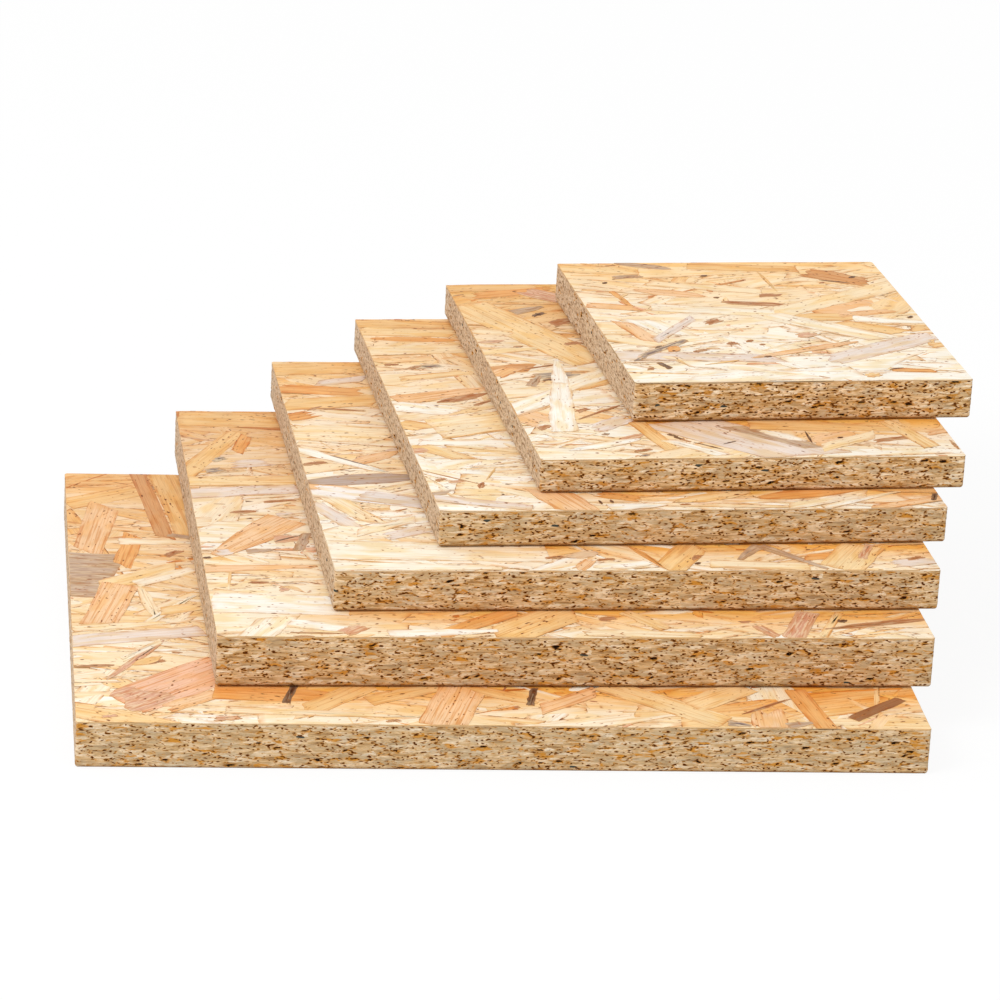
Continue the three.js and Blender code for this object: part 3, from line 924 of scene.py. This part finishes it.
# along the grain here is along the sawn edge, and across it is up the edge
edgeFinish = dict(
    wave=(7, 2.0),
    waveReach=(5 * mm, 1.1 * mm, 0),
    noises=dict(
        layer=(9.0, 1.0, 4, 0.65, 0),
        outline=(13.0, 1.3, 3, 0.55, 0),
        lineBreak=(2.8, 2.0, 1, 0.5, 0),
        fibre=(2.8, 0.4, 3, 0.6, 0),
        patch=(10, 2.8, 3, 0.6, 0),
        speck=(1.8, 1.05, 2, 0.5, 0),
        cluster=(4.2, 1.4, 3, 0.6, 0),
        ash=(16, 3.5, 2, 0.5, 0),
    ),
    cells=dict(flake=(6.5, 1.4), dot=(2.3, 1.3), chip=(4.8, 1.9)),
    roughness=0.85,
    gloss=0.1,
    bump=(0.5, 0.2 * mm),
    layerTones=["#9C703E", "#C69D68", "#DEBA8A", "#EDD1AC", "#F8E7CC"],
    layerReach=(0.3, 0.7),
    flakeShare=0.3,
    grey=("#A89272", 0, 1, 0.4, 0),
    side=("#C5AE97", core["sideGrain"], 1, 0.65, 0),
    frontShare=(core["sideGrain"], 1, 0.1, 1),
    fibreLight=(0.3, 0.7, 0.81, 1.155),
    ash=("#AC9A7D", 0.50, 0.62, 0, 0.45),
    patch=("#C4842C", 0.60, 0.67, 0, 0.9),
    line=("#683E14", 0.006, 0.028, 0.55, 0),
    lineGap=(0.48, 0.64, 0, 1),
    fleck=("#6F5237", 0.54, 0.63, 0, 1.1),
    clusterMore=(0.08, 0.025),      # on a patch, and on warm wood
    clusterHalo=("#C4842C", 0.60, 0.67, 0, 0.85),
    cluster=("#4C2100", 0.66, 0.70, 0, 1),
    dotSize=(0.12, 1, -0.12, 0.29),
    speckMore=(0.8, 0.05),          # by the noise, and on warm wood
    rust=("#A4691E", 0.28, 0.42, 0, 0.7),
    speck=("#4C2100", 0.41, 0.49, 0, 1),
    chip=("#42453F", 0.28, 0.34, 1, 0),
    chipRare=0.996,
    pitRagged=(0.9, -0.45),
    pitHalo=("#C4842C", 0.12, 0.6, 0, 0.8),
    # the dark core of each void is painted shade, laid over the real hollow cut into the edge
    pit=("#240F01", 0.62, 0.85, 0, 1),
    # painted shade on faces turned downward: the underside arris, where each panel sits on the one below
    scorch=("#4A1A02", -0.75, -0.1, 0.9, 0),
    scorchShare=(0.35, 0.6, 0.55, 1),
    innerTone="#C99A5E",
)


def edgeMaterial():
    # Flake ends cut by the saw: matt, tan and cream in wavy layers under a millimetre thick, with brown glue
    # lines, orange heartwood patches, dark specks and open voids whose dark cores are painted shade, and
    # painted shade on the faces turned down at the underside arris.
    look = edgeFinish
    material, tree, shader = newMaterial("sawnFlakeEdge")
    uv = add(tree, "UVMap", uv_map="grain")
    pit, sawn, warmth, grain = (add(tree, "Attribute", out="Fac", attribute_name=name)
                                for name in ("pit", "sawn", "warmth", "endGrain"))
    wave = add(tree, "Mapping", {0: uv}, in3=per(*look["wave"]))
    wave = add(tree, "TexNoise", {0: wave}, "Color", noise_dimensions="2D", in2=1, in3=3)
    wave = add(tree, "VectorMath", {0: wave}, operation="SUBTRACT", in1=(0.5, 0.5, 0.5))
    wave = add(tree, "VectorMath", {0: wave}, operation="MULTIPLY", in1=look["waveReach"])
    wave = add(tree, "VectorMath", {0: wave, 3: grain}, operation="SCALE")
    warped = add(tree, "VectorMath", {0: uv, 1: wave}, operation="ADD")
    noise = grainNoises(tree, warped, look["noises"])
    cells = {}
    for name, size in look["cells"].items():
        scaled = add(tree, "Mapping", {0: warped}, in3=per(*size))
        cells[name] = add(tree, "TexVoronoi", {0: scaled}, voronoi_dimensions="2D", in2=1).node.outputs

    colour = add(tree, "Mix", {2: noise["layer"], 3: cells["flake"]["Color"]}, data_type="FLOAT",
                 in0=look["flakeShare"])
    colour = add(tree, "ValToRGB", {0: colour})
    elements = colour.node.color_ramp.elements
    stops = look["layerTones"]
    while len(elements) < len(stops):
        elements.new(0.5)
    for element, stop, position in zip(elements, stops, np.linspace(*look["layerReach"], len(stops))):
        element.position = position
        element.color = rgba(stop)
    colour, _ = tint(tree, colour, warmth, look["grey"])
    colour, side = tint(tree, colour, grain, look["side"])
    front = add(tree, "MapRange", {0: grain}, **ranged(look["frontShare"]))
    light = add(tree, "MapRange", {0: noise["fibre"]}, **ranged(look["fibreLight"]))
    colour = add(tree, "VectorMath", {0: colour, 3: light}, operation="SCALE")
    colour, _ = tint(tree, colour, noise["ash"], look["ash"], front)
    colour, patch = tint(tree, colour, noise["patch"], look["patch"], front)

    ridge = add(tree, "Math", {0: noise["outline"]}, operation="SUBTRACT", in1=0.5)
    ridge = add(tree, "Math", {0: ridge}, operation="ABSOLUTE")
    gap = add(tree, "MapRange", {0: noise["lineBreak"]}, **ranged(look["lineGap"]))
    gap = add(tree, "Math", {0: gap, 1: grain}, operation="MULTIPLY")
    colour, line = tint(tree, colour, ridge, look["line"], gap)

    onPatch, onWarm = look["clusterMore"]
    cluster = add(tree, "Math", {0: patch, 2: noise["cluster"]}, operation="MULTIPLY_ADD", in1=onPatch)
    cluster = add(tree, "Math", {0: warmth, 2: cluster}, operation="MULTIPLY_ADD", in1=onWarm)
    byNoise, onWarm = look["speckMore"]
    size = add(tree, "SeparateColor", {0: cells["dot"]["Color"]})
    size = add(tree, "MapRange", {0: size}, **ranged(look["dotSize"]))
    speck = add(tree, "Math", {0: size, 1: cells["dot"]["Distance"]}, operation="SUBTRACT")
    speck = add(tree, "Math", {0: noise["speck"], 2: speck}, operation="MULTIPLY_ADD", in1=byNoise)
    speck = add(tree, "Math", {0: warmth, 2: speck}, operation="MULTIPLY_ADD", in1=onWarm)
    rare = add(tree, "SeparateColor", {0: cells["chip"]["Color"]})
    rare = add(tree, "Math", {0: rare}, operation="GREATER_THAN", in1=look["chipRare"])
    # a void: its dark core is painted shade in the hollow, its orange ring is torn wood
    times, less = look["pitRagged"]
    ragged = add(tree, "Math", {0: noise["speck"]}, operation="MULTIPLY_ADD", in1=times, in2=less)
    ragged = add(tree, "Math", {0: pit, 1: ragged}, operation="ADD")
    upward = add(tree, "SeparateXYZ", {0: add(tree, "NewGeometry", out="True Normal")}, 2)
    # painted shade where the edge turns downward, broken up by the patch noise
    underShadeAmount = add(tree, "MapRange", {0: noise["patch"]}, **ranged(look["scorchShare"]))
    for name, pattern, within in (
            ("fleck", noise["cluster"], side), ("clusterHalo", cluster, front), ("cluster", cluster, front),
            ("rust", speck, front), ("speck", speck, grain), ("chip", cells["chip"]["Distance"], rare),
            ("pitHalo", ragged, None), ("pit", ragged, None), ("scorch", upward, underShadeAmount)):
        colour, _ = tint(tree, colour, pattern, look[name], within)
    colour = add(tree, "Mix", {0: sawn, 7: colour}, 2, data_type="RGBA", in6=rgba(look["innerTone"]))
    height = add(tree, "Math", {0: noise["layer"], 1: line}, operation="SUBTRACT")
    finishSurface(tree, shader, look, colour, height)
    return material


strandWood = strandMaterial()
edgeWood = edgeMaterial()
for number, panel in enumerate(panels):
    pieces = [buildCore(panel, edgeWood, seeds["core"] + seeds["coreStep"] * number)]
    pieces += [buildStrands(number, strandWood, topFace) for topFace in (True, False)]
    for piece in pieces:
        piece.data.calc_loop_triangles()
        print("built", piece.name, len(piece.data.loop_triangles), "triangles")


studio = dict(floorSize=6.0, floorColour=0.96, floorRoughness=0.9, glow=0.9, sky=0.81,
              lamp=(-1.7, -1.1, 1.9), lampSize=1.5, lampWatts=36)
cameraView = dict(eye=(-0.2405, -1.9123, 0.7476), down=19.954, right=6.93, roll=3.21, lens=169.0, film=36,
                  farthest=50)


def buildFloor():
    mesh = bpy.data.meshes.new("floor")
    corners = np.array([(-1, -1, 0), (1, -1, 0), (1, 1, 0), (-1, 1, 0)], float) * studio["floorSize"]
    mesh.from_pydata(corners, [], [(0, 1, 2, 3)])
    floor = addObject("floor", mesh)
    material, tree, shader = newMaterial("mattWhitePaint")
    shader.inputs["Base Color"].default_value = (*[studio["floorColour"]] * 3, 1)
    shader.inputs["Roughness"].default_value = studio["floorRoughness"]
    glow = add(tree, "Emission", in0=(1, 1, 1, 1), in1=1.0)
    seen = add(tree, "LightPath", out="Is Camera Ray")
    share = add(tree, "Math", {0: seen}, operation="MULTIPLY", in1=studio["glow"])
    mix = add(tree, "MixShader", {0: share, 1: shader.outputs[0], 2: glow})
    tree.links.new(mix, tree.nodes["Material Output"].inputs["Surface"])
    mesh.materials.append(material)


def buildWorld():
    world = bpy.data.worlds.new("studio")
    bpy.context.scene.world = world
    world.use_nodes = True
    tree = world.node_tree
    seen = add(tree, "LightPath", out="Is Camera Ray")
    level = add(tree, "MapRange", {0: seen}, **ranged((0, 1, studio["sky"], 1)))
    background = tree.nodes["Background"]
    background.inputs["Color"].default_value = (1, 1, 1, 1)
    tree.links.new(level, background.inputs["Strength"])


def buildLamp():
    data = bpy.data.lights.new("key", "AREA")
    data.shape = "DISK"
    data.size = studio["lampSize"]
    data.energy = studio["lampWatts"]
    lamp = addObject("key", data)
    lamp.location = studio["lamp"]
    lamp.rotation_euler = (-Vector(studio["lamp"])).to_track_quat("-Z", "Y").to_euler()


def buildCamera(view):
    down, right, roll = (math.radians(view[key]) for key in ("down", "right", "roll"))
    ahead = Vector((math.sin(right) * math.cos(down), math.cos(right) * math.cos(down), -math.sin(down)))
    level = Vector((math.cos(right), -math.sin(right), 0))
    upright = level.cross(ahead)
    x = math.cos(roll) * level + math.sin(roll) * upright
    y = -math.sin(roll) * level + math.cos(roll) * upright
    data = bpy.data.cameras.new("camera")
    data.sensor_width = view["film"]
    data.lens = view["lens"]
    data.clip_end = view["farthest"]
    camera = addObject("camera", data)
    camera.matrix_world = Matrix((x, y, -ahead)).transposed().to_4x4()
    camera.location = view["eye"]
    bpy.context.scene.camera = camera


buildFloor()
buildWorld()
buildLamp()
buildCamera(cameraView)
bpy.context.scene.view_settings.view_transform = "Standard"
print("stage and camera set")
